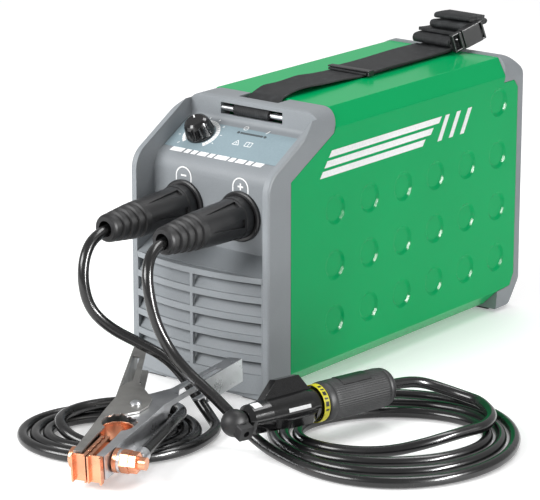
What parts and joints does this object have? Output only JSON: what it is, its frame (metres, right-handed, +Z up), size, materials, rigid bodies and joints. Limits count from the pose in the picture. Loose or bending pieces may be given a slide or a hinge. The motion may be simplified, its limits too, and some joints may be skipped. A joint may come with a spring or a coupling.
{
  "type": "stick welder",
  "caption": "Portable inverter stick welder in a green ribbed steel sleeve, with plugged-in welding cables, an earth clamp and an electrode holder.",
  "frame": {"origin": "centre of the case footprint at floor level", "axes": "+Z up, -Y is the front with the sockets, +X is to the right when looking at the front"},
  "size_m": [0.3862, 0.6117, 0.265],
  "materials": {
    "grey_plastic": "moulded satin grey",
    "black_plastic": "satin black",
    "gloss_black": "glossy black",
    "green_steel": "smooth green powder coat",
    "black_steel": "black powder coat",
    "label_film": "blue-grey printed film",
    "lens": "clear window",
    "brass": "machined",
    "bright_steel": "bright zinc plated",
    "dull_steel": "dull zinc plated",
    "copper": "copper plated",
    "rubber": "soft black",
    "cable_rubber": "soft semi-matt cable jacket",
    "webbing": "black woven webbing",
    "green_board": "circuit board",
    "aluminium": "extruded",
    "iron_core": "varnished laminations",
    "ferrite": "coated core",
    "can_sleeve": "shrink sleeve"
  },
  "bodies": {
    "case": {"front_fascia": "grey_plastic", "front_grille": "grey_plastic", "intake_baffle": "black_plastic", "housing_sleeve": "green_steel", "rear_frame": "grey_plastic", "rear_panel": "black_steel", "console_label": "label_film", "indicator_lights": "lens", "potentiometer": "black_plastic", "socket_minus": "black_plastic", "socket_plus": "black_plastic", "socket_insert_minus": "brass", "socket_insert_plus": "brass", "chassis_plate": "bright_steel", "power_board": "green_board", "heat_sinks": "aluminium", "main_transformer": "iron_core", "output_choke": "ferrite", "capacitor_bank": "can_sleeve", "fan_frame": "black_plastic", "power_switch_body": "black_plastic", "inlet_gland": "black_plastic", "rubber_feet": "rubber", "case_screws": "bright_steel", "carry_strap": "webbing", "strap_bundle": "webbing", "buckle_socket": "black_plastic", "buckle_tongue": "black_plastic", "strap_keeper": "black_plastic", "strap_pin_front": "bright_steel", "clamp_lower_arm": "bright_steel", "clamp_pivot": "bright_steel", "clamp_spring": "bright_steel", "clamp_lower_jaw": "copper", "clamp_bridge": "copper", "clamp_bolt": "copper", "clamp_nuts": "copper", "clamp_lug": "bright_steel", "holder_grip": "rubber", "minus_cable": "cable_rubber", "plus_cable": "cable_rubber", "earth_cable_end": "cable_rubber", "holder_cable_end": "cable_rubber", "earth_coil": "cable_rubber", "holder_coil": "cable_rubber"},
    "knob": {"control_knob": "gloss_black", "knob_spindle": "bright_steel"},
    "switch_rocker": {"power_switch_rocker": "gloss_black"},
    "fan": {"fan_rotor": "black_plastic"},
    "plug_minus": {"plug_minus_body": "black_plastic", "plug_minus_sleeve": "rubber", "plug_minus_pin": "brass"},
    "plug_plus": {"plug_plus_body": "black_plastic", "plug_plus_sleeve": "rubber", "plug_plus_pin": "brass"},
    "clamp_upper": {"clamp_upper_arm": "dull_steel", "clamp_upper_jaw": "copper"},
    "holder_front": {"holder_head": "gloss_black", "holder_nose": "rubber", "holder_core": "brass"}
  },
  "joints": [
    {"name": "knob_turn", "type": "hinge", "parent": "case", "child": "knob", "pos_m": [-0.041, -0.1255, 0.20271], "axis": [0, -0.4925, 0.8703], "range_deg": [-140, 140]},
    {"name": "power_switch_rock", "type": "hinge", "parent": "case", "child": "switch_rocker", "pos_m": [0.041, 0.1735, 0.201], "axis": [1, 0, 0], "range_deg": [-22, 0]},
    {"name": "fan_spin", "type": "hinge", "parent": "case", "child": "fan", "pos_m": [0, 0.1635, 0.118], "axis": [0, 1, 0], "continuous": true},
    {"name": "plug_minus_twist", "type": "hinge", "parent": "case", "child": "plug_minus", "pos_m": [-0.035, -0.1585, 0.149], "axis": [0, 1, 0], "range_deg": [-90, 0]},
    {"name": "plug_plus_twist", "type": "hinge", "parent": "case", "child": "plug_plus", "pos_m": [0.026, -0.1585, 0.149], "axis": [0, 1, 0], "range_deg": [-90, 0]},
    {"name": "clamp_open", "type": "hinge", "parent": "case", "child": "clamp_upper", "pos_m": [0.058, -0.3245, 0.027], "axis": [-0.0291, 0.0872, -0.9958], "range_deg": [0, 11], "stiffness_Nm_per_rad": 2, "springref_deg": -28.65},
    {"name": "holder_twist", "type": "hinge", "parent": "case", "child": "holder_front", "pos_m": [0.1367, -0.2991, 0.033], "axis": [0.2018, 0.9791, -0.0251], "range_deg": [-90, 90]}
  ]
}
